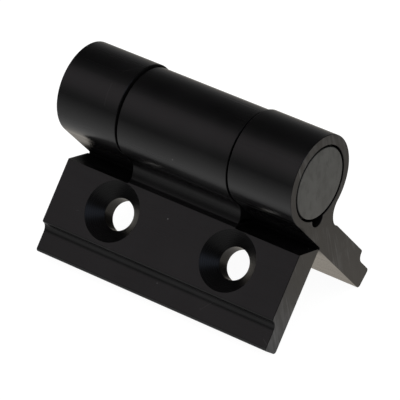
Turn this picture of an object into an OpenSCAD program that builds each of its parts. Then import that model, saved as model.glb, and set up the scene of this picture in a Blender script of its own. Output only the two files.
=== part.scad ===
// Spring hinge made of two extruded leaves round one barrel.
// A torsion spring inside the barrel turns the leaves towards each other.
// The hinge stands on the tips of its leaves, as it does when nothing loads it.
// X runs along the hinge axis, Z is up, and the origin lies on the floor under the axis.

/* [Leaves] */
// Length of both leaves along the hinge axis
hinge_l = 60; // [52:1:90]
// Reach of each leaf from the hinge axis to its tip
leaf_reach = 35.5; // [33:0.2:44]
// Thickness of the leaves
leaf_t = 6.6; // [6:0.1:7.2]
// Depth of the mounting faces below the hinge axis
mount_drop = 10.35; // [10.2:0.05:11.2]
// Width of the thinner lip along the tip
lip_w = 6.2; // [4:0.1:7]
// Thickness of that lip
lip_t = 4.6; // [3.6:0.1:5.4]
// Rounding of the edges along the tip
tip_r = 0.7; // [0.3:0.1:1.2]

/* [Knuckles] */
// Radius of the two outer knuckles, which belong to the rear leaf
outer_knuckle_r = 10.1; // [9.9:0.05:10.3]
// Shift of that round away from the leaf, seen from the hinge axis
outer_shift_back = 0.3; // [0:0.05:0.4]
// Shift of that round towards the outer face, seen from the hinge axis
outer_shift_up = 0.25; // [0:0.05:0.35]
// Radius of the middle knuckle, which belongs to the front leaf
middle_knuckle_r = 10; // [9.5:0.05:10.1]
// Width of the middle knuckle
middle_knuckle_l = 27.9; // [24:0.1:30]
// Place of the middle knuckle's centre along the axis
middle_knuckle_x = -0.2; // [-1:0.1:1]
// Slit between the middle knuckle and each outer one
knuckle_gap = 0.5; // [0.15:0.05:0.6]
// Radius of the bore through all the knuckles
bore_r = 8.25; // [8:0.05:8.5]
// Radius of the hollow between the barrel and the outer face
neck_r = 4.3; // [4.2:0.05:4.6]
// Distance from the hinge axis to the shoulder where the outer face starts
shoulder_reach = 14.8; // [14.6:0.05:15]
// Width of the sloping edge of that shoulder
shoulder_w = 1; // [0.4:0.05:1.2]
// Distance from the hinge axis to the milled end of a leaf
mill_reach = 15.25; // [15.2:0.05:16]
// Lean of that milled end, in degrees from the outer face's normal
mill_lean = 23; // [18:1:26]
// Distance from the hinge axis to the step where the mounting face starts
relief_reach = 12.5; // [12.3:0.05:12.8]
// Air left where that step stops the other leaf
stop_gap = 0.05; // [0.02:0.01:0.2]

/* [Screw holes] */
// Distance between the two holes of a leaf
hole_spacing = 30; // [24:1:40]
// Distance from the hinge axis to the holes
hole_reach = 21.65; // [21.6:0.05:24]
// Diameter of the holes
hole_d = 7; // [5:0.1:7.4]
// Width of the countersinks at the outer face
sink_d = 13.2; // [10:0.1:13.4]
// Full angle of the countersinks
sink_angle = 90; // [82:1:100]

/* [Spring] */
// Thickness of the spring wire
wire_d = 1.8; // [1.4:0.1:2]
// Radius of the coil, to the middle of the wire
coil_r = 5.7; // [5.5:0.05:5.8]
// Whole turns of the coil, nearly
coil_turns = 12; // [8:1:12]
// Radius of the groove that holds a leg of the spring
groove_r = 1.8; // [1.6:0.05:1.9]
// Distance from the hinge axis to the middle of the groove
groove_reach = 8.2; // [8.1:0.05:8.5]
// Direction of the groove below the leaf, in degrees
groove_turn = 44.5; // [40:0.5:50]

/* [Bearing plugs] */
// Length of a bearing plug
plug_l = 22; // [20.5:0.5:23]
// Radius of the plug's end that shows in the outer knuckle
plug_face_r = 7.8; // [7.7:0.05:8.1]
// Depth of the ring-shaped gap round that end
plug_rim_l = 1.5; // [0.5:0.1:2.5]
// Running clearance between a plug and the bore, all round
plug_fit = 0.05; // [0.02:0.01:0.1]
// Thickness of the plug's closed end
plug_end_t = 3; // [2:0.1:4]
// Depth of the pocket in which the coil lies
pocket_l = 12; // [10:0.5:13]
// Air between the coil and the pocket's wall
pocket_air = 0.5; // [0.3:0.05:0.6]
// Length of the key that runs in the groove
key_l = 12; // [6:0.5:12.3]
// Clearance of the key in the groove
key_fit = 0.1; // [0.05:0.01:0.2]

/* [Arbor] */
// Diameter of the steel arbor through the coil
arbor_d = 8; // [6:0.1:8.2]
// Clearance of the arbor in the plugs, all round
arbor_fit = 0.02; // [0.01:0.01:0.1]
// Bevel at the arbor's ends
arbor_bevel = 0.6; // [0.2:0.1:1]

/* [Hidden] */
$fn = 96;

// Small overlap that keeps cuts open, and a length beyond every section
eps = 0.01;
far = 60;

// Colours of the finishes
anodised_black = [0.14, 0.14, 0.145];
plug_grey = [0.29, 0.3, 0.29];
spring_steel = [0.62, 0.62, 0.6];
ground_steel = [0.75, 0.75, 0.74];

// Corner of a milled end at the mounting face, and its distance from the axis
corner_u = (mill_reach - mount_drop * sin(mill_lean)) / cos(mill_lean);
corner_r = norm([corner_u, mount_drop]);

// Angle between the mounting faces at which an edge of one leaf meets the other's
// mounting face, and the angle at which the milled corner meets the other's neck
face_stop = 2 * atan2(mount_drop, max(relief_reach, corner_u));
neck_drop = max(outer_knuckle_r - outer_shift_up, middle_knuckle_r);
neck_stop = atan2(mount_drop, corner_u) + asin(neck_drop / corner_r);

// Angle between the mounting faces when the hinge is shut, and half of it
shut_angle = max(face_stop, neck_stop) + asin(stop_gap / corner_r);
half_angle = shut_angle / 2;

// Height of the axis when the hinge stands on its tips
tip_u = leaf_reach - tip_r;
tip_v = mount_drop - tip_r;
axis_z = tip_u * cos(half_angle) + tip_v * sin(half_angle) + tip_r;

// Ends of the middle knuckle and of the slot that it turns in
middle_left = middle_knuckle_x - middle_knuckle_l / 2;
middle_right = middle_knuckle_x + middle_knuckle_l / 2;
slot_left = middle_left - knuckle_gap;
slot_right = middle_right + knuckle_gap;

// Outer face, lip and hollow of the leaf's section
outer_face_v = leaf_t - mount_drop;
lip_v = lip_t - mount_drop;
lip_fillet_r = outer_face_v - lip_v;
lip_start_u = leaf_reach - lip_w;

// Depth of a countersink, and how far its cutter runs on above the face
hole_r = hole_d / 2;
sink_depth = (sink_d / 2 - hole_r) / tan(sink_angle / 2);
sink_over = 0.4;

// Groove centre below the leaf
groove_u = groove_reach * cos(groove_turn);
groove_v = -groove_reach * sin(groove_turn);

// Direction of each leaf's groove round the axis at rest, from +Y towards +Z
rear_groove_turn = half_angle - 90 - groove_turn;
front_groove_turn = 180 - rear_groove_turn;

// Bearing plugs, with their depths measured from the end that shows
plug_r = bore_r - plug_fit;
pocket_r = coil_r + wire_d / 2 + pocket_air;
pocket_floor = plug_l - pocket_l;
plug_bevel = 0.5;
arbor_r = arbor_d / 2;
socket_r = arbor_r + arbor_fit;
leg_hole_r = wire_d / 2 + key_fit;
leg_hole_end = plug_end_t + 1;
arbor_end_air = 0.2;
arbor_l = hinge_l - 2 * (plug_end_t + arbor_end_air);

// Wire of the spring: sides of its section, and steps of the path in a turn and a bend
wire_sides = 8;
turn_steps = 20;
bend_steps = 4;
wire_r = wire_d / 2;
leg_bend_r = 1.5;
out_bend_r = 2;

// Fixed leg in the right plug, coil, and free leg in the front leaf's groove
fixed_leg_x = hinge_l / 2 - leg_hole_end - key_fit;
coil_right = hinge_l / 2 - pocket_floor - wire_r - leg_bend_r;
coil_left = plug_l - hinge_l / 2 + wire_r + 1;
free_leg_turn = asin(out_bend_r / groove_reach);
leg_bend_turn = leg_bend_r / coil_r * 180 / PI;
coil_start_turn = rear_groove_turn - leg_bend_turn;
coil_end_turn = front_groove_turn + free_leg_turn - 360 * (coil_turns + 1);
free_leg_reach = groove_reach + groove_r - wire_r - key_fit;

// Section of a leaf, with u along the leaf and v along its outer normal

module corner_waste(r) {
    difference() {
        square([r + eps, r + eps]);
        circle(r);
    }
}

module leaf_section(knuckle_r, off_u, off_v) {
    neck_u = off_u + knuckle_r + neck_r;
    slope_u = shoulder_reach - shoulder_w;
    slope_v = off_v - sqrt(pow(neck_r, 2) - pow(neck_u - slope_u, 2));
    steepness = (outer_face_v - slope_v) / shoulder_w;
    difference() {
        union() {
            difference() {
                union() {
                    translate([off_u, off_v])
                        circle(knuckle_r);
                    // Neck, flush with the underside of the barrel
                    translate([off_u, off_v - knuckle_r])
                        square([neck_u - off_u, knuckle_r]);
                }
                // Hollow between the barrel and the shoulder of the outer face
                translate([neck_u, off_v])
                    circle(neck_r);
            }
            // Plate, from the shoulder's slope out to the tip
            polygon([
                [relief_reach, -mount_drop],
                [leaf_reach, -mount_drop],
                [leaf_reach, outer_face_v],
                [shoulder_reach, outer_face_v],
                [relief_reach, outer_face_v - steepness * (shoulder_reach - relief_reach)]
            ]);
        }
        // Step down to the lip, with its fillet
        difference() {
            translate([lip_start_u, lip_v])
                square([far, far]);
            difference() {
                translate([lip_start_u - eps, lip_v - eps])
                    square([lip_fillet_r + eps, lip_fillet_r + eps]);
                translate([lip_start_u + lip_fillet_r, outer_face_v])
                    circle(lip_fillet_r);
            }
        }
        // Rounded edges of the tip
        translate([tip_u, lip_v - tip_r])
            corner_waste(tip_r);
        translate([tip_u, tip_r - mount_drop])
            mirror([0, 1])
                corner_waste(tip_r);
        // Bore, and the groove for a leg of the spring
        circle(bore_r);
        translate([groove_u, groove_v])
            circle(groove_r);
    }
}

module along_x(x_from, x_to) {
    translate([x_from, 0, 0])
        rotate([90, 0, 90])
            linear_extrude(x_to - x_from)
                children();
}

// Everything on the barrel's side of a milled end
module milled_away(x_from, x_to) {
    rotate([-mill_lean, 0, 0])
        translate([x_from, mill_reach - far, -far / 2])
            cube([x_to - x_from, far, far]);
}

// Straight hole from below, and a cone that widens through the outer face
module screw_hole() {
    translate([0, 0, -eps])
        cylinder(h = leaf_t, r = hole_r);
    translate([0, 0, leaf_t - sink_depth])
        cylinder(
            h = sink_depth + sink_over,
            r1 = hole_r,
            r2 = sink_d / 2 + sink_over * tan(sink_angle / 2)
        );
}

module screw_holes() {
    for (x = [-hole_spacing / 2, hole_spacing / 2])
        translate([x, hole_reach, -mount_drop])
            screw_hole();
}

// A leaf lying flat, with its outer face up
module flat_leaf(knuckle_r, off_u = 0, off_v = 0) {
    difference() {
        along_x(-hinge_l / 2, hinge_l / 2)
            leaf_section(knuckle_r, off_u, off_v);
        screw_holes();
        children();
    }
}

// From lying flat to standing on the tip, on the side of +Y
module lean_on_tip() {
    translate([0, 0, axis_z])
        rotate([half_angle - 90, 0, 0])
            children();
}

module rear_leaf() {
    color(anodised_black)
        lean_on_tip()
            flat_leaf(outer_knuckle_r, -outer_shift_back, outer_shift_up)
                milled_away(slot_left, slot_right);
}

module front_leaf() {
    color(anodised_black)
        mirror([0, 1, 0])
            lean_on_tip()
                flat_leaf(middle_knuckle_r) {
                    milled_away(-hinge_l / 2 - 1, middle_left);
                    milled_away(middle_right, hinge_l / 2 + 1);
                }
}

// Bearing plug with its closed end at z = 0 and its pocket open towards +Z
module plug_body() {
    rotate_extrude()
        polygon([
            [0, 0],
            [plug_face_r, 0],
            [plug_face_r, plug_rim_l],
            [plug_r, plug_rim_l],
            [plug_r, plug_l - plug_bevel],
            [plug_r - plug_bevel, plug_l],
            [pocket_r, plug_l],
            [pocket_r, pocket_floor],
            [socket_r, pocket_floor],
            [socket_r, plug_end_t],
            [0, plug_end_t]
        ]);
}

module plug() {
    difference() {
        union() {
            plug_body();
            // Key that runs in the groove, from behind the closed end
            difference() {
                translate([groove_reach, 0, plug_end_t])
                    cylinder(h = key_l, r = groove_r - key_fit);
                translate([0, 0, plug_end_t - eps])
                    cylinder(h = key_l + 2 * eps, r = plug_r - 0.5);
            }
        }
        // Hole for the fixed leg of the spring, in line with the key
        translate([coil_r, 0, leg_hole_end])
            cylinder(h = pocket_floor, r = leg_hole_r);
    }
}

module plug_in_place() {
    translate([hinge_l / 2, 0, axis_z])
        rotate([rear_groove_turn, 0, 0])
            rotate([0, -90, 0])
                rotate([0, 0, 90])
                    plug();
}

module right_plug() {
    color(plug_grey)
        plug_in_place();
}

module left_plug() {
    color(plug_grey)
        mirror([1, 0, 0])
            plug_in_place();
}

module arbor() {
    color(ground_steel)
        translate([-arbor_l / 2, 0, axis_z])
            rotate([0, 90, 0])
                rotate_extrude()
                    polygon([
                        [0, 0],
                        [arbor_r - arbor_bevel, 0],
                        [arbor_r, arbor_bevel],
                        [arbor_r, arbor_l - arbor_bevel],
                        [arbor_r - arbor_bevel, arbor_l],
                        [0, arbor_l]
                    ]);
}

// Path of the spring wire, from the fixed leg to the free one

function on_coil(x, turn) = [x, coil_r * cos(turn), coil_r * sin(turn)];

// Bend from the axial leg into the coil, laid on the coil's own cylinder
function bend_points() = [
    for (i = [0:bend_steps - 1])
        let (a = 90 * i / bend_steps)
        on_coil(coil_right + leg_bend_r * (1 - sin(a)),
                rear_groove_turn - leg_bend_turn * (1 - cos(a)))
];

function coil_points() =
    let (steps = ceil((coil_start_turn - coil_end_turn) / 360 * turn_steps))
    [
        for (i = [0:steps])
            on_coil(coil_right + (coil_left - coil_right) * i / steps,
                    coil_start_turn + (coil_end_turn - coil_start_turn) * i / steps)
    ];

// Bend outwards at the coil's end, then straight into the groove
function out_points() =
    let (
        radial = [0, cos(coil_end_turn), sin(coil_end_turn)],
        onward = [0, sin(coil_end_turn), -cos(coil_end_turn)],
        end = [coil_left, 0, 0] + radial * coil_r
    )
    concat(
        [
            for (i = [1:bend_steps])
                let (a = 90 * i / bend_steps)
                end + radial * out_bend_r * (1 - cos(a)) + onward * out_bend_r * sin(a)
        ],
        [[coil_left, 0, 0] + radial * free_leg_reach + onward * out_bend_r]
    );

wire_path = concat(
    [on_coil(fixed_leg_x, rear_groove_turn)],
    bend_points(),
    coil_points(),
    out_points()
);

function unit(v) = v / norm(v);

// Direction of the wire at each point, halfway between its neighbours
function wire_heading(path) = [
    for (i = [0:len(path) - 1])
        unit(path[min(i + 1, len(path) - 1)] - path[max(i - 1, 0)])
];

// Side vector carried along the wire without twist
function square_to(v, along) = unit(v - along * (v * along));
function carried_sides(headings, first) = [
    for (i = 0, side = square_to(first, headings[0]);
         i < len(headings);
         i = i + 1, side = i < len(headings) ? square_to(side, headings[i]) : side)
        side
];

module wire(path) {
    headings = wire_heading(path);
    sides = carried_sides(headings, [0, 1, 0]);
    points = [
        for (i = [0:len(path) - 1])
            let (side = sides[i], other = cross(headings[i], side))
            for (k = [0:wire_sides - 1])
                let (a = 360 * k / wire_sides)
                path[i] + wire_r * (side * cos(a) + other * sin(a))
    ];
    rings = len(path);
    walls = [
        for (i = [0:rings - 2], k = [0:wire_sides - 1])
            let (
                here = i * wire_sides,
                next = here + wire_sides,
                k2 = (k + 1) % wire_sides
            )
            [here + k, next + k, next + k2, here + k2]
    ];
    first_end = [for (k = [0:wire_sides - 1]) k];
    last_end = [for (k = [0:wire_sides - 1]) rings * wire_sides - 1 - k];
    polyhedron(points, concat(walls, [first_end, last_end]), convexity = 10);
}

module torsion_spring() {
    color(spring_steel)
        translate([0, 0, axis_z])
            wire(wire_path);
}

rear_leaf();
front_leaf();
left_plug();
right_plug();
arbor();
torsion_spring();
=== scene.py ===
# %% [markdown]
# # A spring hinge
# Two black anodised leaves turn round one barrel, and a torsion spring inside it pulls them together.
# The CAD model fixes every size and every place. This lesson gives each piece the edges, tool marks
# and finish of the real one, and lights it like a small studio photograph.

# %% Load the fixed frame
import math

import bmesh
import bpy
from mathutils import Matrix, Vector


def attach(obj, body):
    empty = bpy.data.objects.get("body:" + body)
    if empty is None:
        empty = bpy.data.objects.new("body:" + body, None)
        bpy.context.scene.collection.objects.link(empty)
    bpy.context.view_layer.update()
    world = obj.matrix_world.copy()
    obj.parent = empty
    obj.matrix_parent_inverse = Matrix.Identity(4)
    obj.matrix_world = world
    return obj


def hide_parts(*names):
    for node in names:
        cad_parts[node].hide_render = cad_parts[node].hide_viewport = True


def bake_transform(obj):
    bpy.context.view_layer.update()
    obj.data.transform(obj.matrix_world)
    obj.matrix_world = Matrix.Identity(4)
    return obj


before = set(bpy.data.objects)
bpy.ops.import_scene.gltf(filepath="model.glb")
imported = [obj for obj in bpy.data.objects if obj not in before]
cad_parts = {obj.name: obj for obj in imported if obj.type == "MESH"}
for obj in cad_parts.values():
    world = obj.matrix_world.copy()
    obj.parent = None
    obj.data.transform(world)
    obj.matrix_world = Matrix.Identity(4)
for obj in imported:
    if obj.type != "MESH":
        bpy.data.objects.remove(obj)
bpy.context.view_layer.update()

# %% [markdown]
# ## Sizes
# A piece that stands for a CAD piece repeats its sizes, because Blender must not change them.
# The numbers are in millimetres, as on a drawing, and MM turns them into Blender's metres.

# %% Sizes of the leaves, in millimetres
MM = 0.001
HINGE_L = 60.0
LEAF_REACH = 35.5
LEAF_T = 6.6
MOUNT_DROP = 10.35
LIP_W = 6.2
LIP_T = 4.6
TIP_R = 0.7
OUTER_KNUCKLE_R = 10.1
OUTER_SHIFT_BACK = 0.3
OUTER_SHIFT_UP = 0.25
MIDDLE_KNUCKLE_R = 10.0
MIDDLE_LEFT = -14.15
MIDDLE_RIGHT = 13.75
KNUCKLE_GAP = 0.5
BORE_R = 8.25
NECK_R = 4.3
SHOULDER_REACH = 14.8
SHOULDER_W = 1.0
MILL_REACH = 15.25
MILL_LEAN = math.radians(23)
RELIEF_REACH = 12.5
GROOVE_R = 1.8
GROOVE_REACH = 8.2
GROOVE_TURN = math.radians(44.5)
HOLE_SPACING = 30.0
HOLE_REACH = 21.65
HOLE_R = 3.5
SINK_R = 6.6
HALF_ANGLE = math.radians(39.7144)
AXIS_Z = 33.63549

# %% Sizes of what is inside the barrel, in millimetres
WIRE_R = 0.9
COIL_R = 5.7
COIL_TURNS = 12
PLUG_L = 22.0
PLUG_R = 8.2
PLUG_FACE_R = 7.8
PLUG_RIM_L = 1.5
PLUG_END_T = 3.0
PLUG_BEVEL = 0.5
POCKET_R = 7.1
POCKET_FLOOR = 10.0
SOCKET_R = 4.02
KEY_L = 12.0
KEY_FIT = 0.1
LEG_HOLE_R = 1.0
LEG_HOLE_END = 4.0
LEG_BEND_R = 1.5
OUT_BEND_R = 2.0
ARBOR_R = 4.0
ARBOR_L = 53.6
ARBOR_BEVEL = 0.6
REAR_GROOVE_TURN = HALF_ANGLE - math.pi / 2 - GROOVE_TURN
print("groove of the rear leaf points", round(math.degrees(REAR_GROOVE_TURN), 2), "degrees from +Y")

# %% [markdown]
# ## Camera
# The photograph is a long-lens view from the front right, about 33.5 degrees above the floor.
# Its place was found by fitting the hinge's edges to the picture, so the model falls on the same
# pixels as the real hinge. A long lens keeps the two ends of the barrel almost the same size.

# %% Camera at the photograph's viewpoint
CAMERA_MM = (372.564, -489.779, 425.316)
CAMERA_AZIMUTH = math.radians(37.2845)
CAMERA_ELEVATION = math.radians(33.5216)
CAMERA_ROLL = math.radians(-0.0966)
camera_data = bpy.data.cameras.new("camera")
camera_data.sensor_width = 36.0
camera_data.lens = 320.32
camera_data.clip_start = 0.05
camera_data.clip_end = 50.0
camera = bpy.data.objects.new("camera", camera_data)
bpy.context.scene.collection.objects.link(camera)
camera.rotation_mode = "XYZ"
turn = Matrix.Rotation(CAMERA_AZIMUTH, 4, "Z") @ Matrix.Rotation(math.pi / 2 - CAMERA_ELEVATION, 4, "X")
turn = turn @ Matrix.Rotation(CAMERA_ROLL, 4, "Z")
camera.matrix_world = Matrix.Translation(Vector(CAMERA_MM) * MM) @ turn
bpy.context.scene.camera = camera
print("camera looks along", [round(c, 4) for c in turn.to_3x3() @ Vector((0, 0, -1))])

# %% [markdown]
# ## Small helpers for materials
# A material in Blender is a graph of nodes. `add_node` makes one node and sets its fields and
# sockets, and `join` draws a wire between two of them. The other helpers each make one common node,
# take plain values or the outputs of other nodes, and give the new node's output back.

# %% Helpers that build node graphs
def add_node(tree, kind, fields=None, **sockets):
    """A new node with its own fields set, then its input sockets by name, with _ for a space."""
    made = tree.nodes.new(kind)
    for key, value in (fields or {}).items():
        setattr(made, key, value)
    for key, value in sockets.items():
        made.inputs[key.replace("_", " ")].default_value = value
    return made


def join(tree, source, output, target, socket):
    """A wire from an output of one node to an input of another."""
    tree.links.new(source.outputs[output], target.inputs[socket])


def feed(tree, value, socket):
    """Gives an input its value: a plain one, or the output of another node."""
    if isinstance(value, bpy.types.NodeSocket):
        tree.links.new(value, socket)
    else:
        socket.default_value = value


def calc(tree, operation, *values):
    """A Math node."""
    made = add_node(tree, "ShaderNodeMath", {"operation": operation})
    for socket, value in zip(made.inputs, values):
        feed(tree, value, socket)
    return made.outputs[0]


def remap(tree, value, start, end, low=0.0, high=1.0):
    """A Map Range node: low up to start, high from end on, and even steps between."""
    made = add_node(tree, "ShaderNodeMapRange", From_Min=start, From_Max=end, To_Min=low, To_Max=high)
    feed(tree, value, made.inputs["Value"])
    return made.outputs["Result"]


def mix(tree, factor, first, second):
    """A Mix node for colours, which takes them at its inputs 6 and 7 and gives output 2."""
    made = add_node(tree, "ShaderNodeMix", {"data_type": "RGBA"})
    for number, value in ((0, factor), (6, first), (7, second)):
        feed(tree, value, made.inputs[number])
    return made.outputs[2]


def ramp(tree, value, first, second, start=0.0, end=1.0):
    """A Color Ramp node with one colour up to start and the other from end on."""
    made = add_node(tree, "ShaderNodeValToRGB")
    for stop, position, colour in zip(made.color_ramp.elements, (start, end), (first, second)):
        stop.position = position
        stop.color = colour
    feed(tree, value, made.inputs["Fac"])
    return made.outputs["Color"]


def object_place(tree):
    """The place on the piece, in metres, which stays with the piece when it moves."""
    return add_node(tree, "ShaderNodeTexCoord").outputs["Object"]


def split(tree, vector):
    """The three outputs X, Y and Z of a vector."""
    made = add_node(tree, "ShaderNodeSeparateXYZ")
    feed(tree, vector, made.inputs["Vector"])
    return made.outputs


def mapped(tree, vector, fields=None, **sockets):
    """A Mapping node, which moves, turns or stretches coordinates."""
    made = add_node(tree, "ShaderNodeMapping", fields, **sockets)
    feed(tree, vector, made.inputs["Vector"])
    return made.outputs["Vector"]


def noise(tree, vector, **sockets):
    """A Noise Texture node."""
    made = add_node(tree, "ShaderNodeTexNoise", **sockets)
    feed(tree, vector, made.inputs["Vector"])
    return made.outputs["Fac"]


def cells(tree, vector, feature, scale):
    """A Voronoi Texture node, as the distance to the nearest feature of its cells."""
    made = add_node(tree, "ShaderNodeTexVoronoi", {"feature": feature}, Scale=scale)
    feed(tree, vector, made.inputs["Vector"])
    return made.outputs["Distance"]


def ray_kinds(tree):
    """Two outputs: one for rays from the camera, and one for rays that left a shiny surface."""
    path = add_node(tree, "ShaderNodeLightPath")
    mirror = calc(tree, "MAXIMUM", path.outputs["Is Glossy Ray"], path.outputs["Is Transmission Ray"])
    return path.outputs["Is Camera Ray"], mirror


def new_material(name):
    """A material with an empty graph, and its output."""
    material = bpy.data.materials.new(name)
    material.use_nodes = True
    tree = material.node_tree
    tree.nodes.clear()
    out = add_node(tree, "ShaderNodeOutputMaterial")
    return material, tree, out


def hand_over(tree, skin, out, height, strength, depth):
    """Presses the height into the shader's surface and wires the shader to the output."""
    bump = add_node(tree, "ShaderNodeBump", Strength=strength, Distance=depth)
    feed(tree, height, bump.inputs["Height"])
    join(tree, bump, "Normal", skin, "Normal")
    join(tree, skin, "BSDF", out, "Surface")


# %% [markdown]
# ## Floor
# The picture stands on a pure white table. A floor that is only lit can't be pure white without
# too much light on the hinge, so it glows a little for the camera and for shiny surfaces, and stays
# an ordinary pale floor for everything else. Part of what the camera sees is still the lit floor,
# so the hinge keeps its soft shadow. In reflections the glow fades with distance, as it would round
# a small light table. It is a little warmer behind the hinge, and just in front of it a painted
# shadow dims it, since the glow casts no shadow of its own.

# %% Floor and its material
WHITE = (1, 1, 1, 1)
BLACK = (0, 0, 0, 1)
FLOOR_HALF = 4.0
FLOOR_SEEN = 0.95
FLOOR_NEAR = 0.84
FLOOR_FAR = 0.1
FLOOR_FADE = 0.09
FLOOR_LIT = (0.15, 0.15, 0.15, 1)
FLOOR_PALE = (0.8, 0.8, 0.8, 1)
FLOOR_WARMTH = (1.05, 0.96, 0.84, 1)
WARM_FROM = -0.015
WARM_TO = 0.01
# The TIP numbers place the painted shadow in the glow, along the front leaf's tip.
TIP_LINE = 0.021
TIP_SHADE = 0.5
TIP_SHADE_W = 0.005
TIP_SHADE_L = 0.038
TIP_SHADE_POWER = 6.0
floor_mesh = bpy.data.meshes.new("floor")
corners = [(x * FLOOR_HALF, y * FLOOR_HALF, 0) for x, y in ((-1, -1), (1, -1), (1, 1), (-1, 1))]
floor_mesh.from_pydata(corners, [], [(0, 1, 2, 3)])
floor = bpy.data.objects.new("floor", floor_mesh)
bpy.context.scene.collection.objects.link(floor)

floor_white, tree, out = new_material("floor_white")
coords = object_place(tree)
distance = add_node(tree, "ShaderNodeVectorMath", {"operation": "LENGTH"})
feed(tree, coords, distance.inputs[0])
fade = calc(tree, "EXPONENT", calc(tree, "MULTIPLY", distance.outputs["Value"], -1 / FLOOR_FADE))
mirrored = calc(tree, "MULTIPLY_ADD", fade, FLOOR_NEAR - FLOOR_FAR, FLOOR_FAR)
parts = split(tree, coords)
# Painted shadow: a soft dark band along the front leaf's tip dims the glow that shiny surfaces see.
off_tip = calc(tree, "DIVIDE", calc(tree, "ADD", parts["Y"], TIP_LINE), TIP_SHADE_W)
off_side = calc(tree, "DIVIDE", parts["X"], TIP_SHADE_L)
across = calc(tree, "POWER", off_tip, 2.0)
spread = calc(tree, "ADD", across, calc(tree, "POWER", off_side, TIP_SHADE_POWER))
shade = calc(tree, "EXPONENT", calc(tree, "MULTIPLY", spread, -1.0))
mirrored = calc(tree, "MULTIPLY", mirrored, calc(tree, "MULTIPLY_ADD", shade, -TIP_SHADE, 1.0))
camera_sees, mirror_sees = ray_kinds(tree)
strength = add_node(tree, "ShaderNodeMix", {"data_type": "FLOAT"}, B=FLOOR_SEEN)
feed(tree, camera_sees, strength.inputs["Factor"])
feed(tree, mirrored, strength.inputs["A"])
behind = remap(tree, parts["Y"], WARM_FROM, WARM_TO)
warmth = mix(tree, calc(tree, "MULTIPLY", behind, mirror_sees), WHITE, FLOOR_WARMTH)
glow = add_node(tree, "ShaderNodeEmission")
feed(tree, warmth, glow.inputs["Color"])
join(tree, strength, "Result", glow, "Strength")
dim = add_node(tree, "ShaderNodeBsdfDiffuse", Color=FLOOR_LIT)
both = add_node(tree, "ShaderNodeAddShader")
join(tree, glow, "Emission", both, 0)
join(tree, dim, "BSDF", both, 1)
pale = add_node(tree, "ShaderNodeBsdfDiffuse", Color=FLOOR_PALE)
pick = add_node(tree, "ShaderNodeMixShader")
feed(tree, calc(tree, "MAXIMUM", camera_sees, mirror_sees), pick.inputs[0])
join(tree, pale, "BSDF", pick, 1)
join(tree, both, "Shader", pick, 2)
join(tree, pick, "Shader", out, "Surface")
floor_mesh.materials.append(floor_white)
floor_white.cycles.emission_sampling = "NONE"
print("floor of", 2 * FLOOR_HALF, "metres a side")

# %% [markdown]
# ## Light
# A black shiny surface shows the room more than its own colour, so the room is drawn by what the
# barrel reflects. The hinge and all its faces run along X, and so do the bands on the barrel.
# One ramp is enough for that: it gives the glow of the room by the angle round the X axis, and its
# brightest part is a wide soft light in front. The bands end on the right, where a cool window
# lights the countersinks.
# Everything that isn't a mirror sees one even soft white instead, so colours stay as written.

# %% World
ROOM_SOFT = (0.9, 0.9, 0.9, 1)
GLOW = {-90: 0.24, -60: 0.08, -30: 0.008, -8: 0.008, 8: 0.096, 24: 0.4, 40: 0.464, 56: 0.416, 72: 0.224,
        90: 0.056}
KEY_TINT = (1.04, 0.96, 1.0)
KEY_FROM = 20
KEY_TO = 60
BANDS_FADE = -0.35
BANDS_END = 0.0
WINDOW_AT = (0.75, -0.12, 0.65)
WINDOW_W = 44.0
WINDOW_GLOW = (0.9, 1.05, 1.4, 1)
world = bpy.data.worlds.new("studio")
bpy.context.scene.world = world
world.use_nodes = True
tree = world.node_tree
tree.nodes.clear()
out = add_node(tree, "ShaderNodeOutputWorld")
heading = add_node(tree, "ShaderNodeTexCoord").outputs["Generated"]
parts = split(tree, heading)
around = calc(tree, "ARCTAN2", calc(tree, "MULTIPLY", parts["Y"], -1.0), parts["Z"])
glow = add_node(tree, "ShaderNodeValToRGB")
stops = glow.color_ramp.elements
for angle, strong in GLOW.items():
    stop = stops[0] if angle == -90 else stops[-1] if angle == 90 else stops.new((angle + 90) / 180)
    tint = KEY_TINT if KEY_FROM < angle < KEY_TO else (1, 1, 1)
    stop.color = (*(strong * share for share in tint), 1)
feed(tree, remap(tree, around, -math.pi / 2, math.pi / 2), glow.inputs["Fac"])
bands = mix(tree, remap(tree, parts["X"], BANDS_FADE, BANDS_END), glow.outputs["Color"], BLACK)
towards = add_node(tree, "ShaderNodeVectorMath", {"operation": "DOT_PRODUCT"})
feed(tree, heading, towards.inputs[0])
feed(tree, WINDOW_AT, towards.inputs[1])
window_edge = math.cos(math.radians(WINDOW_W / 2))
window_full = math.cos(math.radians(WINDOW_W / 4))
pane = remap(tree, towards.outputs["Value"], window_edge, window_full)
camera_sees, mirror_sees = ray_kinds(tree)
level = mix(tree, mirror_sees, ROOM_SOFT, mix(tree, pane, bands, WINDOW_GLOW))
room = add_node(tree, "ShaderNodeBackground")
feed(tree, mix(tree, camera_sees, level, WHITE), room.inputs["Color"])
join(tree, room, "Background", out, "Surface")
world.cycles.sampling_method = "NONE"
print("glow of the room from", min(GLOW.values()), "to", max(GLOW.values()))
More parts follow.
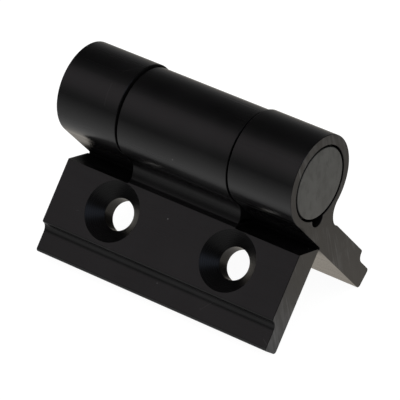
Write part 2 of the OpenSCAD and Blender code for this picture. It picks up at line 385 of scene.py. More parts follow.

# %% [markdown]
# ## Black anodised aluminium
# Anodising grows a hard clear oxide on the aluminium and dyes it black. Almost nothing comes back
# from the dye, so what the eye sees is the gloss of the oxide on top. The extrusion die leaves fine
# lines along the length, so the gloss is drawn out across them. Cut surfaces look different: sawn
# ends carry streaks of the saw, and countersinks carry turning rings. Corners are a little rougher,
# and in corners and in the two hollow rounds the shine is cut down as painted shade. A few specks
# and fine scratches finish it.

# %% Anodised finishes
OXIDE_IOR = 1.45
DYE_DARK = (0.0034, 0.0033, 0.0035, 1)
DYE_LIGHT = (0.0058, 0.0055, 0.0058, 1)
DYE_FROM = 0.35
DYE_TO = 0.7
CLOUD_SCALE = 90.0
SPECK_SCALE = 160.0
SPECK_R = 0.00013
SCRATCH_SCALE = 70.0
SCRATCH_W = 0.00003
SCRATCH_FROM = 0.6
SCRATCH_SHOWS = 0.12
STREAK_CLOUD = 0.8
STREAK_GAIN = 5.0
STREAK_FROM = 0.9
MARK_TONE = (0.11, 0.11, 0.11, 1)
ROUGH_VARIES = 0.04
MARKS_LOW = 0.3
MARKS_HIGH = 0.7
MARKS_PRESS = 0.5
DIE_STRETCH = (12, 2600, 2600)
SAW_LEAN = 0.229
SAW_STRETCH = (0.02, 0.0009, 0.012)
RING_SCALE = 900.0
RING_WOBBLE = 3.0
AO_SAMPLES = 6
# The nook and hollow numbers below set where the shine is cut down as painted shade, in corners and in
# the two hollow rounds; NOOK_DULL adds roughness there.
NOOK_REACH = 0.005
NOOK_FROM = 0.1
NOOK_FULL = 0.45
NOOK_DULL = 0.3
HOLLOW_SHADE = 0.5
HOLLOW_NEAR = 1.05
HOLLOW_PAST = 1.12
LEVEL_TURN = math.radians(54)
STEEP_TURN = math.radians(72)


def in_round(tree, coords, u, v, radius):
    """One deep in a hollow round of either leaf, fading to zero where it levels out with the face."""
    centre_y = (u * math.sin(HALF_ANGLE) + v * math.cos(HALF_ANGLE)) * MM
    centre_z = (AXIS_Z - u * math.cos(HALF_ANGLE) + v * math.sin(HALF_ANGLE)) * MM
    parts = split(tree, coords)
    off_y = calc(tree, "SUBTRACT", calc(tree, "ABSOLUTE", parts["Y"]), centre_y)
    off_z = calc(tree, "SUBTRACT", parts["Z"], centre_z)
    square = calc(tree, "MULTIPLY_ADD", off_y, off_y, calc(tree, "MULTIPLY", off_z, off_z))
    away = calc(tree, "DIVIDE", calc(tree, "SQRT", square), radius * MM)
    near = remap(tree, away, HOLLOW_PAST, HOLLOW_NEAR)
    level_z = -math.cos(LEVEL_TURN) * radius * MM
    steep_z = -math.cos(STEEP_TURN) * radius * MM
    return calc(tree, "MULTIPLY", near, remap(tree, off_z, level_z, steep_z))


def black_oxide(name, rough, depth, pattern, shine=0.5, streak=0.0):
    """An anodised surface with fine marks: pattern makes their height, and depth is in metres."""
    material, tree, out = new_material(name)
    skin = add_node(tree, "ShaderNodeBsdfPrincipled", Metallic=0.0, IOR=OXIDE_IOR)
    coords = object_place(tree)
    # Painted shade: where ambient occlusion finds a nook, the shine is cut down; the surface there is
    # also made rougher.
    nook = add_node(tree, "ShaderNodeAmbientOcclusion", {"samples": AO_SAMPLES}, Distance=NOOK_REACH)
    off_floor = remap(tree, split(tree, coords)["Z"], NOOK_REACH, 2 * NOOK_REACH)
    closed_in = calc(tree, "MULTIPLY", calc(tree, "SUBTRACT", 1.0, nook.outputs["AO"]), off_floor)
    nook_shaded_shine = remap(tree, closed_in, NOOK_FROM, NOOK_FULL, shine, 0.0)
    # Painted shade: deep in the hollow round beside the barrel and in the one above the lip, the shine
    # is cut down too.
    lip_round = LEAF_T - LIP_T
    beside_barrel = in_round(tree, coords, MIDDLE_KNUCKLE_R + NECK_R, 0, NECK_R)
    above_lip = in_round(tree, coords, LEAF_REACH - LIP_W + lip_round, LEAF_T - MOUNT_DROP, lip_round)
    hollow = calc(tree, "MAXIMUM", beside_barrel, above_lip)
    left = calc(tree, "MULTIPLY_ADD", hollow, -HOLLOW_SHADE, 1.0)
    feed(tree, calc(tree, "MULTIPLY", nook_shaded_shine, left), skin.inputs["Specular IOR Level"])
    height = pattern(tree, coords)
    gloss = remap(tree, height, MARKS_LOW, MARKS_HIGH, rough - ROUGH_VARIES, rough + ROUGH_VARIES)
    feed(tree, calc(tree, "MULTIPLY_ADD", closed_in, NOOK_DULL, gloss), skin.inputs["Roughness"])
    cloud = noise(tree, coords, Scale=CLOUD_SCALE, Detail=4.0)
    speck = calc(tree, "LESS_THAN", cells(tree, coords, "F1", SPECK_SCALE), SPECK_R * SPECK_SCALE)
    crack = cells(tree, coords, "DISTANCE_TO_EDGE", SCRATCH_SCALE)
    line = calc(tree, "LESS_THAN", crack, SCRATCH_W * SCRATCH_SCALE)
    worn = calc(tree, "MULTIPLY", line, calc(tree, "GREATER_THAN", cloud, SCRATCH_FROM))
    lighter = calc(tree, "MAXIMUM", speck, calc(tree, "MULTIPLY", worn, SCRATCH_SHOWS))
    if streak:
        smear = calc(tree, "MULTIPLY_ADD", cloud, STREAK_CLOUD, height)
        band = calc(tree, "MULTIPLY_ADD", smear, STREAK_GAIN, -STREAK_GAIN * STREAK_FROM)
        lighter = calc(tree, "MAXIMUM", lighter, calc(tree, "MULTIPLY", band, streak))
    dye = ramp(tree, cloud, DYE_DARK, DYE_LIGHT, DYE_FROM, DYE_TO)
    feed(tree, mix(tree, lighter, dye, MARK_TONE), skin.inputs["Base Color"])
    hand_over(tree, skin, out, height, MARKS_PRESS, depth)
    return material


def die_lines(tree, coords):
    """Fine lines along the length of the extrusion."""
    squeezed = mapped(tree, coords, Scale=DIE_STRETCH)
    return noise(tree, squeezed, Scale=1.0, Detail=3.0, Roughness=0.6)


def saw_streaks(tree, coords):
    """Uneven streaks left by the saw on a cut end, leaning a little from upright."""
    blade = mapped(tree, coords, {"vector_type": "TEXTURE"}, Rotation=(SAW_LEAN, 0, 0),
                   Scale=SAW_STRETCH)
    return noise(tree, blade, Scale=1.0, Detail=3.0, Roughness=0.65, Distortion=0.7)


def hole_rings(side):
    """Turning rings round the two screw holes of one leaf: side is 1 for the rear, -1 for the front."""
    def pattern(tree, coords):
        lean = side * (math.pi / 2 - HALF_ANGLE)
        onto_axis = (0, math.sin(lean) * AXIS_Z * MM, -math.cos(lean) * AXIS_Z * MM)
        fold = add_node(tree, "ShaderNodeVectorMath", {"operation": "ABSOLUTE"})
        feed(tree, mapped(tree, coords, Rotation=(lean, 0, 0), Location=onto_axis), fold.inputs[0])
        centre = add_node(tree, "ShaderNodeVectorMath", {"operation": "SUBTRACT"})
        centre.inputs[1].default_value = (HOLE_SPACING / 2 * MM, HOLE_REACH * MM, 0)
        join(tree, fold, "Vector", centre, 0)
        rings = add_node(tree, "ShaderNodeTexWave", {"wave_type": "RINGS", "rings_direction": "Z"},
                         Scale=RING_SCALE, Distortion=RING_WOBBLE, Detail=3.0, Detail_Scale=0.4)
        join(tree, centre, "Vector", rings, "Vector")
        return rings.outputs["Fac"]
    return pattern


leaf_skin = black_oxide("anodised_leaf_skin", rough=0.24, depth=0.000012, pattern=die_lines)
sawn_end = black_oxide("anodised_sawn_end", rough=0.38, depth=0.000005, pattern=saw_streaks, streak=0.35)
milled_flat = black_oxide("anodised_milled_flat", rough=0.3, depth=0.00001, pattern=die_lines)
# The holes get a lower shine, 0.2, so the countersinks and screw holes mirror less: painted shade in the
# recesses.
turned_hole = {
    side: black_oxide(name, rough=0.3, depth=0.000003, pattern=hole_rings(side), shine=0.2)
    for side, name in ((1, "anodised_rear_holes"), (-1, "anodised_front_holes"))
}
bored_wall = black_oxide("anodised_bored_wall", rough=0.4, depth=0.00001, pattern=die_lines)
black_finishes = (leaf_skin, sawn_end, milled_flat, bored_wall, *turned_hole.values())
print("anodised finishes:", [m.name for m in black_finishes])

# %% [markdown]
# ## Plastic and steel
# The bearing plugs are moulded in dark grey plastic, which is dull and slightly blotchy, and rubbed
# where fingers and tools met its end. Painted shade darkens the narrow gap round it. The arbor is
# ground:
# fine rings go round it. The spring is drawn wire, so its scratches run along the wire.

# %% Plastic and steel
ACETAL_IOR = 1.48
ACETAL_DARK = (0.051, 0.0525, 0.05, 1)
ACETAL_LIGHT = (0.071, 0.0725, 0.0685, 1)
ACETAL_RUBBED = (0.036, 0.0375, 0.036, 1)
ACETAL_SMOOTH = 0.42
ACETAL_ROUGH = 0.56
ACETAL_PRESS = 0.25
ACETAL_DEPTH = 0.00002
TONE_SCALE = 260.0
TONE_FROM = 0.3
TONE_TO = 0.65
RUBBED_SCALE = 330.0
RUBBED_LEAN = 0.6
RUBBED_SQUEEZE = 2.2
RUBBED_FROM = 0.5
RUBBED_TO = 0.62
RUBBED_MOST = 0.55
GAP_PAINTED_SHADE = (0.004, 0.004, 0.004, 1)
GAP_REACH = 0.0008
GAP_POWER = 4.0
STEEL_SHADE = 0.75
STEEL_VARIES = 0.1
STEEL_PRESS = 0.3
STEEL_DEPTH = 0.00001


def moulded_plastic():
    """Dark grey acetal with soft clouds, a few darker rubbed spots, and painted shade in the gap round
    the plug.
    """
    material, tree, out = new_material("moulded_acetal")
    skin = add_node(tree, "ShaderNodeBsdfPrincipled", Metallic=0.0, IOR=ACETAL_IOR)
    coords = object_place(tree)
    cloud = noise(tree, coords, Scale=TONE_SCALE, Detail=3.0, Roughness=0.5)
    tone = ramp(tree, cloud, ACETAL_DARK, ACETAL_LIGHT, TONE_FROM, TONE_TO)
    smear = mapped(tree, coords, Rotation=(RUBBED_LEAN, 0, 0), Scale=(1, RUBBED_SQUEEZE, 1))
    spot = noise(tree, smear, Scale=RUBBED_SCALE, Detail=2.0)
    rubbed = remap(tree, spot, RUBBED_FROM, RUBBED_TO, 0.0, RUBBED_MOST)
    colour = mix(tree, rubbed, tone, ACETAL_RUBBED)
    # Painted shade: the colour goes dark in the narrow gap round the plug, where ambient occlusion finds
    # it closed in.
    gap = add_node(tree, "ShaderNodeAmbientOcclusion", {"samples": AO_SAMPLES}, Distance=GAP_REACH)
    open_air = calc(tree, "POWER", gap.outputs["AO"], GAP_POWER)
    feed(tree, mix(tree, open_air, GAP_PAINTED_SHADE, colour), skin.inputs["Base Color"])
    feed(tree, remap(tree, cloud, 0.0, 1.0, ACETAL_SMOOTH, ACETAL_ROUGH), skin.inputs["Roughness"])
    hand_over(tree, skin, out, cloud, ACETAL_PRESS, ACETAL_DEPTH)
    return material


def scratched_steel(name, colour, rough, stretch):
    """Bright steel with fine scratches, drawn out by the given stretch of the coordinates."""
    material, tree, out = new_material(name)
    skin = add_node(tree, "ShaderNodeBsdfPrincipled", Metallic=1.0)
    drawn = mapped(tree, object_place(tree), Scale=stretch)
    scratch = noise(tree, drawn, Scale=1.0, Detail=4.0, Roughness=0.6)
    shaded = (*(STEEL_SHADE * part for part in colour), 1)
    feed(tree, ramp(tree, scratch, shaded, (*colour, 1)), skin.inputs["Base Color"])
    gloss = remap(tree, scratch, 0.0, 1.0, rough - STEEL_VARIES, rough + STEEL_VARIES)
    feed(tree, gloss, skin.inputs["Roughness"])
    hand_over(tree, skin, out, scratch, STEEL_PRESS, STEEL_DEPTH)
    return material


acetal = moulded_plastic()
ground_steel = scratched_steel("ground_steel", colour=(0.56, 0.56, 0.55), rough=0.3,
                               stretch=(3500, 150, 150))
spring_wire = scratched_steel("drawn_spring_wire", colour=(0.42, 0.41, 0.39), rough=0.34,
                              stretch=(1600, 500, 500))
print("inner finishes:", [m.name for m in (acetal, ground_steel, spring_wire)])

# %% [markdown]
# ## The leaf's section
# Each leaf is an extrusion: one outline pushed through a die. So its mesh starts as an outline too,
# drawn with u along the leaf and v out of its outer face, both measured from the hinge axis. Real
# extrusions have no perfectly sharp edges, so `soften` rounds each corner by its own small radius.

# %% Outline of the section
LIP_CORNER_R = 0.45
SHOULDER_R = 0.3
SLOPE_FOOT_R = 0.2
RELIEF_EDGE = 0.14
HOLLOW_STEPS = 28
LIP_STEPS = 14
BARREL_STEPS = 168


def arc(centre_u, centre_v, radius, start, end, steps):
    """Points along a circle, with the directions in degrees."""
    made = []
    for i in range(steps + 1):
        a = math.radians(start + (end - start) * i / steps)
        made.append((centre_u + radius * math.cos(a), centre_v + radius * math.sin(a), 0.0))
    return made


def soften(corners, steps=4):
    """The closed outline with each corner (u, v, radius) rounded by an arc of that radius."""
    made = []
    count = len(corners)
    for i, (u, v, radius) in enumerate(corners):
        here = Vector((u, v))
        if radius == 0:
            made.append(here)
            continue
        back = (Vector(corners[i - 1][:2]) - here).normalized()
        ahead = (Vector(corners[(i + 1) % count][:2]) - here).normalized()
        half = math.acos(max(-1, min(1, back.dot(ahead)))) / 2
        run = radius / math.tan(half)
        centre = here + (back + ahead).normalized() * (radius / math.sin(half))
        first = here + back * run - centre
        last = here + ahead * run - centre
        for k in range(steps + 1):
            way = first.lerp(last, k / steps).normalized() * radius
            made.append(centre + way)
    return made


def leaf_outline(knuckle_r, off_u=0.0, off_v=0.0):
    """The section round the barrel, whose round may stand off the axis, and down to the lip."""
    outer_v = LEAF_T - MOUNT_DROP
    lip_v = LIP_T - MOUNT_DROP
    lip_u = LEAF_REACH - LIP_W
    fillet = outer_v - lip_v
    neck_u = off_u + knuckle_r + NECK_R
    slope_u = SHOULDER_REACH - SHOULDER_W
    slope_turn = -90 - math.degrees(math.asin((neck_u - slope_u) / NECK_R))
    hollow = arc(neck_u, off_v, NECK_R, slope_turn, -180, HOLLOW_STEPS)[:-1]
    relief = MOUNT_DROP - knuckle_r + off_v
    corners = [
        (RELIEF_REACH, off_v - knuckle_r, relief - RELIEF_EDGE),
        (RELIEF_REACH, -MOUNT_DROP, 0),
        (LEAF_REACH, -MOUNT_DROP, TIP_R),
        (LEAF_REACH, lip_v, TIP_R),
    ]
    # The small round of the corner above the lip takes the place of this arc's last points.
    corners += arc(lip_u + fillet, outer_v, fillet, -90, -180, LIP_STEPS)[:-3]
    corners += [
        (lip_u, outer_v, LIP_CORNER_R),
        (SHOULDER_REACH, outer_v, SHOULDER_R),
        (*hollow[0][:2], SLOPE_FOOT_R),
    ]
    corners += hollow[1:]
    corners += arc(off_u, off_v, knuckle_r, 0, 270, BARREL_STEPS)
    return soften(corners)


rear_outline = leaf_outline(OUTER_KNUCKLE_R, -OUTER_SHIFT_BACK, OUTER_SHIFT_UP)
front_outline = leaf_outline(MIDDLE_KNUCKLE_R)
print("points in the outlines:", len(rear_outline), len(front_outline))

# %% [markdown]
# ## Cutting tools
# The bore, the milled ends and the countersunk holes are cut after the extrusion, just as in the
# workshop. Each tool is a closed mesh with its own material, and Boolean modifiers hand that
# material on to the faces that the tool leaves. The two screw holes repeat along a line, so
# Geometry Nodes places the countersinking tool.

# %% Helpers that make closed meshes
SAME_POINT = 1e-7


def to_leaf(side):
    """From (x, u, v) in millimetres to the standing leaf: side is 1 for the rear, -1 for the front."""
    s = math.sin(HALF_ANGLE)
    c = math.cos(HALF_ANGLE)
    rows = ((1, 0, 0, 0), (0, side * s, side * c, 0), (0, -c, s, AXIS_Z), (0, 0, 0, 1))
    return Matrix.Scale(MM, 4) @ Matrix(rows)


def prism(name, outline, x_from, x_to, sides=None, ends=None):
    """A closed bar with that outline in (u, v), from one x to the other."""
    count = len(outline)
    points = [(x_from, u, v) for u, v in outline] + [(x_to, u, v) for u, v in outline]
    faces = [tuple(range(count))[::-1], tuple(range(count, 2 * count))]
    for i in range(count):
        k = (i + 1) % count
        faces.append((i, k, k + count, i + count))
    mesh = bpy.data.meshes.new(name)
    mesh.from_pydata(points, [], faces)
    for material in (sides, ends):
        if material:
            mesh.materials.append(material)
    if ends:
        mesh.polygons[0].material_index = 1
        mesh.polygons[1].material_index = 1
    return outward(mesh)


def outward(mesh):
    """The same mesh with doubles merged and every face turned outwards."""
    work = bmesh.new()
    work.from_mesh(mesh)
    bmesh.ops.remove_doubles(work, verts=work.verts, dist=SAME_POINT)
    bmesh.ops.recalc_face_normals(work, faces=work.faces)
    if work.calc_volume(signed=True) < 0:
        bmesh.ops.reverse_faces(work, faces=work.faces)
    work.to_mesh(mesh)
    work.free()
    return mesh


def lathe(name, profile, steps, material=None):
    """A closed turned piece round its own Z axis, from (radius, height) points."""
    points = []
    rings = []
    for radius, height in profile:
        if radius == 0:
            rings.append([len(points)])
            points.append((0, 0, height))
            continue
        rings.append(list(range(len(points), len(points) + steps)))
        for k in range(steps):
            a = 2 * math.pi * k / steps
            points.append((radius * math.cos(a), radius * math.sin(a), height))
    faces = []
    for low, high in zip(rings, rings[1:] + rings[:1]):
        if len(low) == 1 and len(high) == 1:
            continue
        for k in range(steps):
            n = (k + 1) % steps
            corner = [low[k % len(low)], low[n % len(low)], high[n % len(high)], high[k % len(high)]]
            faces.append(tuple(dict.fromkeys(corner)))
    mesh = bpy.data.meshes.new(name)
    mesh.from_pydata(points, [], faces)
    if material:
        mesh.materials.append(material)
    return outward(mesh)


def place(name, mesh, matrix=None):
    """A new object for the mesh, linked to the scene, with its place in its vertices."""
    if matrix is not None:
        mesh.transform(matrix)
        outward(mesh)
    made = bpy.data.objects.new(name, mesh)
    bpy.context.scene.collection.objects.link(made)
    return made


def baked(name, source):
    """A plain mesh object with the source's modifiers applied. The source goes away."""
    graph = bpy.context.evaluated_depsgraph_get()
    mesh = bpy.data.meshes.new_from_object(source.evaluated_get(graph), depsgraph=graph)
    mesh.name = name
    bpy.data.objects.remove(source)
    made = bpy.data.objects.new(name, mesh)
    bpy.context.scene.collection.objects.link(made)
    return made


# %% Geometry Nodes tree that repeats a tool along a line
def new_tree(name, inputs):
    """A tree with a geometry input and output and the given inputs. Gives the inputs' outputs too."""
    tree = bpy.data.node_groups.new(name, "GeometryNodeTree")
    for title, kind in {"Geometry": "NodeSocketGeometry", **inputs}.items():
        tree.interface.new_socket(title, in_out="INPUT", socket_type=kind)
    tree.interface.new_socket("Geometry", in_out="OUTPUT", socket_type="NodeSocketGeometry")
    return tree, add_node(tree, "NodeGroupInput").outputs


def end_tree(tree, geometry, material):
    """Makes the geometry real, sets its material and hands it to the tree's output."""
    real = add_node(tree, "GeometryNodeRealizeInstances")
    feed(tree, geometry, real.inputs["Geometry"])
    paint = add_node(tree, "GeometryNodeSetMaterial", Material=material)
    join(tree, real, "Geometry", paint, "Geometry")
    join(tree, paint, "Geometry", add_node(tree, "NodeGroupOutput"), "Geometry")


def row_tree(material):
    """Instances of the input along X, with named inputs for their number and spacing."""
    tree, given = new_tree("row_of_tools", {"Count": "NodeSocketInt", "Spacing": "NodeSocketFloat"})
    step = add_node(tree, "ShaderNodeCombineXYZ")
    feed(tree, given["Spacing"], step.inputs["X"])
    span = calc(tree, "MULTIPLY", calc(tree, "SUBTRACT", given["Count"], 1.0), given["Spacing"])
    start = add_node(tree, "ShaderNodeCombineXYZ")
    feed(tree, calc(tree, "MULTIPLY", span, -0.5), start.inputs["X"])
    line = add_node(tree, "GeometryNodeMeshLine", {"mode": "OFFSET"})
    feed(tree, given["Count"], line.inputs["Count"])
    join(tree, start, "Vector", line, "Start Location")
    join(tree, step, "Vector", line, "Offset")
    copies = add_node(tree, "GeometryNodeInstanceOnPoints")
    join(tree, line, "Mesh", copies, "Points")
    feed(tree, given["Geometry"], copies.inputs["Instance"])
    end_tree(tree, copies.outputs["Instances"], material)
    return tree


def set_inputs(modifier, values):
    """Sets a Geometry Nodes modifier's inputs by the sockets' identifiers."""
    for item in modifier.node_group.interface.items_tree:
        if item.in_out == "INPUT" and item.name in values:
            modifier[item.identifier] = values[item.name]


# %% Screw hole tools for both leaves
SINK_OVER = 0.4
DRILL_UNDER = 1.0
HOLE_STEPS = 112
sink_depth = SINK_R - HOLE_R
tool_profile = [
    (0, -DRILL_UNDER),
    (HOLE_R, -DRILL_UNDER),
    (HOLE_R, LEAF_T - sink_depth),
    (SINK_R + SINK_OVER, LEAF_T + SINK_OVER),
    (0, LEAF_T + SINK_OVER),
]


def screw_tools(material):
    """The two hole tools of a leaf, standing on its mounting face, as one object in (x, u, v)."""
    source = place("screw_tool", lathe("screw_tool", tool_profile, HOLE_STEPS))
    row = source.modifiers.new("row", "NODES")
    row.node_group = row_tree(material)
    set_inputs(row, {"Count": 2, "Spacing": HOLE_SPACING})
    made = baked("screw_tools", source)
    made.data.transform(Matrix.Translation((0, HOLE_REACH, -MOUNT_DROP)))
    return made


# %% [markdown]
# ## The two leaves
# One function makes both leaves: extrude the outline, cut it with the tools, then round every edge
# that is left by a hair's width, because a deburred edge catches the light and a perfect one looks
# false. The rims of the countersinks almost touch the milled edge, so those edges get a smaller
# round. Weighted normals keep the wide faces flat up to their rounded edges.

# %% Make a leaf
EDGE_ROUND = 0.14
FINE_SHARE = 0.2
FINE_MARGIN = 0.9
SHARP_TURN = math.radians(27)
FLAT_TURN = math.radians(0.2)
DOUBLES_WITHIN = 0.002
PLANE_WITHIN = 0.02
MILL_HALF = 40
MILL_DEPTH = 60
BORE_STEPS = 132
GROOVE_STEPS = 28
EASE_STEPS = 3


def bore_outline():
    """The bore joined with the groove that holds a leg of the spring."""
    turn = -GROOVE_TURN
    reach = (GROOVE_REACH ** 2 + BORE_R ** 2 - GROOVE_R ** 2) / (2 * GROOVE_REACH)
    bore_half = math.degrees(math.acos(reach / BORE_R))
    groove_half = math.degrees(math.acos((GROOVE_REACH - reach) / GROOVE_R))
    middle = math.degrees(turn)
    points = arc(0, 0, BORE_R, middle + bore_half, middle + 360 - bore_half, BORE_STEPS)
    centre = (GROOVE_REACH * math.cos(turn), GROOVE_REACH * math.sin(turn))
    first = middle - 180 + groove_half
    last = middle + 180 - groove_half
    points += arc(*centre, GROOVE_R, first, last, GROOVE_STEPS)[1:-1]
    return [Vector(p[:2]) for p in points]


def milled_outline():
    """A rectangle over everything on the barrel's side of the milled plane."""
    along = Vector((math.sin(MILL_LEAN), math.cos(MILL_LEAN)))
    across = Vector((math.cos(MILL_LEAN), -math.sin(MILL_LEAN)))
    face = across * MILL_REACH
    edge = along * MILL_HALF
    depth = across * MILL_DEPTH
    return [face - edge, face + edge, face + edge - depth, face - edge - depth]


def cut(target, tool_mesh):
    """Adds a Boolean modifier that takes the tool's shape away. Gives the tool's object."""
    tool = tool_mesh if isinstance(tool_mesh, bpy.types.Object) else place("tool", tool_mesh)
    step = target.modifiers.new("cut", "BOOLEAN")
    step.operation = "DIFFERENCE"
    step.solver = "EXACT"
    step.material_mode = "TRANSFER"
    step.object = tool
    return tool


def mark_edges(mesh):
    """Bevel weights: one on a sharp edge, and a share of it round the holes and the milled plane."""
    work = bmesh.new()
    work.from_mesh(mesh)
    bmesh.ops.remove_doubles(work, verts=work.verts, dist=DOUBLES_WITHIN)
    bmesh.ops.dissolve_limit(work, angle_limit=FLAT_TURN, verts=work.verts, edges=work.edges,
                             delimit={"MATERIAL"})
    weight = work.edges.layers.float.new("bevel_weight_edge")
    hole_places = (-HOLE_SPACING / 2, HOLE_SPACING / 2)
    for edge in work.edges:
        if len(edge.link_faces) != 2 or edge.calc_face_angle(0) < SHARP_TURN:
            continue
        middle = (edge.verts[0].co + edge.verts[1].co) / 2
        plane = middle.y * math.cos(MILL_LEAN) - middle.z * math.sin(MILL_LEAN)
        to_holes = [Vector((middle.x - x, middle.y - HOLE_REACH)).length for x in hole_places]
        near_hole = min(to_holes) < SINK_R + FINE_MARGIN
        on_mill = abs(plane - MILL_REACH) < PLANE_WITHIN
        edge[weight] = FINE_SHARE if near_hole or on_mill else 1.0
    work.to_mesh(mesh)
    work.free()


def make_leaf(name, side, outline, slots):
    """A leaf in (x, u, v) millimetres: extruded, bored, milled in the given slots, and drilled."""
    blank = place(name + "_blank", prism(name, outline, -HINGE_L / 2, HINGE_L / 2, leaf_skin, sawn_end))
    tools = [cut(blank, prism("bore_tool", bore_outline(), -HINGE_L, HINGE_L, bored_wall))]
    for x_from, x_to in slots:
        tools.append(cut(blank, prism("mill_tool", milled_outline(), x_from, x_to, milled_flat)))
    tools.append(cut(blank, screw_tools(turned_hole[side])))
    rough = baked(name + "_rough", blank)
    for tool in tools:
        bpy.data.objects.remove(tool)
    mark_edges(rough.data)
    ease = rough.modifiers.new("ease", "BEVEL")
    ease.limit_method = "WEIGHT"
    ease.width = EDGE_ROUND
    ease.segments = EASE_STEPS
    ease.use_clamp_overlap = False
    return baked(name + "_eased", rough)


def levelled(name, piece):
    """The piece with smooth shading in which the widest faces decide the normals."""
    piece.data.shade_smooth()
    level = piece.modifiers.new("level", "WEIGHTED_NORMAL")
    level.keep_sharp = True
    return baked(name, piece)


def stand(name, piece, side):
    """Stands a leaf up on its tip, and turns the faces of the mirrored one back outwards."""
    piece.data.transform(to_leaf(side))
    if side < 0:
        piece.data.flip_normals()
    return levelled(name, piece)


rear_slots = [(MIDDLE_LEFT - KNUCKLE_GAP, MIDDLE_RIGHT + KNUCKLE_GAP)]
front_slots = [(-HINGE_L, MIDDLE_LEFT), (MIDDLE_RIGHT, HINGE_L)]
rear = make_leaf("rear_leaf", 1, rear_outline, rear_slots)
front = make_leaf("front_leaf", -1, front_outline, front_slots)
leaves = ((rear, 1, "rear_leaf", "rear_half"), (front, -1, "front_leaf", "front_half"))
for blank, side, node, body in leaves:
    piece = stand(node + "_body", blank, side)
    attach(piece, body)
    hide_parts(node)
    finishes = [m.name for m in piece.data.materials]
    print(piece.name, "faces:", len(piece.data.polygons), "materials:", finishes)

# %% [markdown]
# ## Bearing plugs
# A plug closes each end of the barrel. Its collar leaves a thin dark ring in the bore, a key holds
# it in the groove, and its pocket takes the coil. It is turned on the lathe like the CAD one, with
# small rounds added in the profile. The hole for the spring's leg and the key are done by Booleans.

# %% Make the plugs
FACE_ROUND = 0.25
ROUND_POINT = 0.3 * FACE_ROUND
COLLAR_BEVEL = 0.1
KEY_ROOT = 0.5
KEY_HALF_W = 1.5
KEY_STEPS = 20
PLUG_STEPS = 144
PLUG_SHARP = math.radians(38)
ROD_STEPS = 32
plug_profile = [
    (0, 0),
    (PLUG_FACE_R - FACE_ROUND, 0),
    (PLUG_FACE_R - ROUND_POINT, ROUND_POINT),
    (PLUG_FACE_R, FACE_ROUND),
    (PLUG_FACE_R, PLUG_RIM_L),
    (PLUG_R - COLLAR_BEVEL, PLUG_RIM_L),
    (PLUG_R, PLUG_RIM_L + COLLAR_BEVEL),
    (PLUG_R, PLUG_L - PLUG_BEVEL),
    (PLUG_R - PLUG_BEVEL, PLUG_L),
    (POCKET_R, PLUG_L),
    (POCKET_R, POCKET_FLOOR),
    (SOCKET_R, POCKET_FLOOR),
    (SOCKET_R, PLUG_END_T),
    (0, PLUG_END_T),
]


def key_outline():
    """The key in plan, from inside the plug's wall out to the groove."""
    tip = arc(GROOVE_REACH, 0, GROOVE_R - KEY_FIT, 90, -90, KEY_STEPS)
    root = [(PLUG_R - KEY_ROOT, half, 0) for half in (-KEY_HALF_W, KEY_HALF_W)]
    return [Vector(p[:2]) for p in tip + root]


def rod(name, radius, x, y, low, high, material):
    """A closed round rod parallel to Z."""
    mesh = lathe(name, [(0, low), (radius, low), (radius, high), (0, high)], ROD_STEPS, material)
    mesh.transform(Matrix.Translation((x, y, 0)))
    return mesh


def make_plug(name, side):
    """A plug with its closed end outwards: side is 1 for the right one, -1 for the left."""
    body = place(name + "_blank", lathe(name, plug_profile, PLUG_STEPS, acetal))
    upright = Matrix(((0, 1, 0, 0), (0, 0, 1, 0), (1, 0, 0, 0), (0, 0, 0, 1)))
    bar = prism("key", key_outline(), PLUG_END_T, PLUG_END_T + KEY_L, acetal)
    bar.transform(upright)
    key = place("key", outward(bar))
    add = body.modifiers.new("key", "BOOLEAN")
    add.operation = "UNION"
    add.solver = "EXACT"
    add.object = key
    hole = cut(body, rod("leg_hole", LEG_HOLE_R, COIL_R, 0, LEG_HOLE_END, PLUG_L, acetal))
    made = baked(name + "_rough", body)
    for tool in (key, hole):
        bpy.data.objects.remove(tool)
    s = math.sin(REAR_GROOVE_TURN)
    c = math.cos(REAR_GROOVE_TURN)
    rows = ((0, 0, -side, side * HINGE_L / 2), (c, -s, 0, 0), (s, c, 0, AXIS_Z), (0, 0, 0, 1))
    made.data.transform(Matrix.Scale(MM, 4) @ Matrix(rows))
    outward(made.data)
    made.data.shade_smooth()
    made.data.set_sharp_from_angle(angle=PLUG_SHARP)
    return levelled(name, made)


for side, node in ((1, "right_plug"), (-1, "left_plug")):
    piece = make_plug(node + "_moulding", side)
    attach(piece, "rear_half")
    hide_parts(node)
    print(piece.name, "faces:", len(piece.data.polygons))

# %% [markdown]
# ## Arbor
# The steel arbor runs through the coil and into both plugs. Its ends are bevelled, and each keeps
# the small cone of the lathe's centre.

# %% Make the arbor
CENTRE_R = 0.9
ARBOR_STEPS = 96
ARBOR_SHARP = math.radians(30)
arbor_profile = [
    (0, CENTRE_R),
    (CENTRE_R, 0),
    (ARBOR_R - ARBOR_BEVEL, 0),
    (ARBOR_R, ARBOR_BEVEL),
    (ARBOR_R, ARBOR_L - ARBOR_BEVEL),
    (ARBOR_R - ARBOR_BEVEL, ARBOR_L),
    (CENTRE_R, ARBOR_L),
    (0, ARBOR_L - CENTRE_R),
]
along_x = Matrix(((0, 0, 1, -ARBOR_L / 2), (1, 0, 0, 0), (0, 1, 0, AXIS_Z), (0, 0, 0, 1)))
arbor_mesh = lathe("arbor_rod", arbor_profile, ARBOR_STEPS, ground_steel)
arbor = place("arbor_rod", arbor_mesh, Matrix.Scale(MM, 4) @ along_x)
arbor.data.shade_smooth()
arbor.data.set_sharp_from_angle(angle=ARBOR_SHARP)
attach(arbor, "rear_half")
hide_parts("arbor")
print(arbor.name, "faces:", len(arbor.data.polygons))

# %% [markdown]
# ## Torsion spring
# A spring is one wire bent along one path, so only the path is written here: a leg in the right
# plug, a bend, the coil round the arbor, and a bend outwards into the front leaf's groove. Geometry
# Nodes sweeps a circle along it.

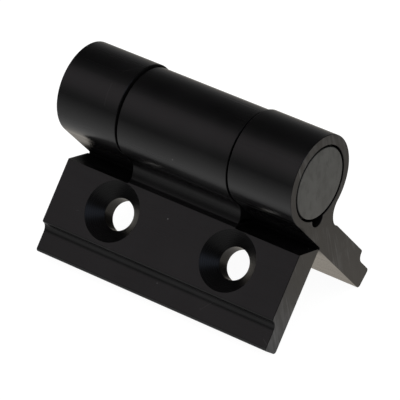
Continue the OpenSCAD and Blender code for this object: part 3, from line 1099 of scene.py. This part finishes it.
# %% Path of the wire
COIL_RIGHT = HINGE_L / 2 - POCKET_FLOOR - WIRE_R - LEG_BEND_R
COIL_LEFT = PLUG_L - HINGE_L / 2 + WIRE_R + 1
LEG_END = HINGE_L / 2 - LEG_HOLE_END - KEY_FIT
LEG_BEND_TURN = LEG_BEND_R / COIL_R
START_TURN = REAR_GROOVE_TURN - LEG_BEND_TURN
OUT_TURN = math.pi - REAR_GROOVE_TURN + math.asin(OUT_BEND_R / GROOVE_REACH)
END_TURN = OUT_TURN - 2 * math.pi * (COIL_TURNS + 1)
FREE_LEG_REACH = GROOVE_REACH + GROOVE_R - WIRE_R - KEY_FIT
TURN_STEPS = 48
BEND_STEPS = 8


def wire_path():
    """Points of the wire in millimetres, seen from the hinge axis."""
    def on_coil(x, turn):
        return Vector((x, COIL_R * math.cos(turn), COIL_R * math.sin(turn)))

    points = [on_coil(LEG_END, REAR_GROOVE_TURN)]
    for i in range(BEND_STEPS):
        a = math.pi / 2 * i / BEND_STEPS
        x = COIL_RIGHT + LEG_BEND_R * (1 - math.sin(a))
        points.append(on_coil(x, REAR_GROOVE_TURN - LEG_BEND_TURN * (1 - math.cos(a))))
    steps = math.ceil((START_TURN - END_TURN) / (2 * math.pi) * TURN_STEPS)
    for i in range(steps + 1):
        share = i / steps
        x = COIL_RIGHT + (COIL_LEFT - COIL_RIGHT) * share
        points.append(on_coil(x, START_TURN + (END_TURN - START_TURN) * share))
    radial = Vector((0, math.cos(END_TURN), math.sin(END_TURN)))
    onward = Vector((0, math.sin(END_TURN), -math.cos(END_TURN)))
    coil_end = points[-1].copy()
    for i in range(1, BEND_STEPS + 1):
        a = math.pi / 2 * i / BEND_STEPS
        outwards = radial * OUT_BEND_R * (1 - math.cos(a))
        points.append(coil_end + outwards + onward * OUT_BEND_R * math.sin(a))
    points.append(Vector((COIL_LEFT, 0, 0)) + radial * FREE_LEG_REACH + onward * OUT_BEND_R)
    return points


# %% Geometry Nodes tree that turns a path into wire
def wire_tree(material):
    """A round wire along the input's edges, with named inputs for its radius and its sides."""
    inputs = {"Wire radius": "NodeSocketFloat", "Sides": "NodeSocketInt"}
    tree, given = new_tree("wire_from_path", inputs)
    path = add_node(tree, "GeometryNodeMeshToCurve")
    feed(tree, given["Geometry"], path.inputs["Mesh"])
    ring = add_node(tree, "GeometryNodeCurvePrimitiveCircle")
    feed(tree, given["Sides"], ring.inputs["Resolution"])
    feed(tree, given["Wire radius"], ring.inputs["Radius"])
    swept = add_node(tree, "GeometryNodeCurveToMesh", Fill_Caps=True)
    join(tree, path, "Curve", swept, "Curve")
    join(tree, ring, "Curve", swept, "Profile Curve")
    end_tree(tree, swept.outputs["Mesh"], material)
    return tree


# %% Make the spring
WIRE_SIDES = 16
WIRE_SHARP = math.radians(50)
path_points = [(p + Vector((0, 0, AXIS_Z))) * MM for p in wire_path()]
path_mesh = bpy.data.meshes.new("spring_path")
path_mesh.from_pydata(path_points, [(i, i + 1) for i in range(len(path_points) - 1)], [])
wound = place("spring_path", path_mesh)
sweep = wound.modifiers.new("wire", "NODES")
sweep.node_group = wire_tree(spring_wire)
set_inputs(sweep, {"Wire radius": WIRE_R * MM, "Sides": WIRE_SIDES})
spring = baked("torsion_spring_wire", wound)
outward(spring.data)
spring.data.shade_smooth()
spring.data.set_sharp_from_angle(angle=WIRE_SHARP)
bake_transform(spring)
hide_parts("torsion_spring")
print(spring.name, "points along the wire:", len(path_points), "faces:", len(spring.data.polygons))

# %% [markdown]
# ## Last step
# The view transform is set to Standard.

# %% Colour
bpy.context.scene.view_settings.view_transform = "Standard"
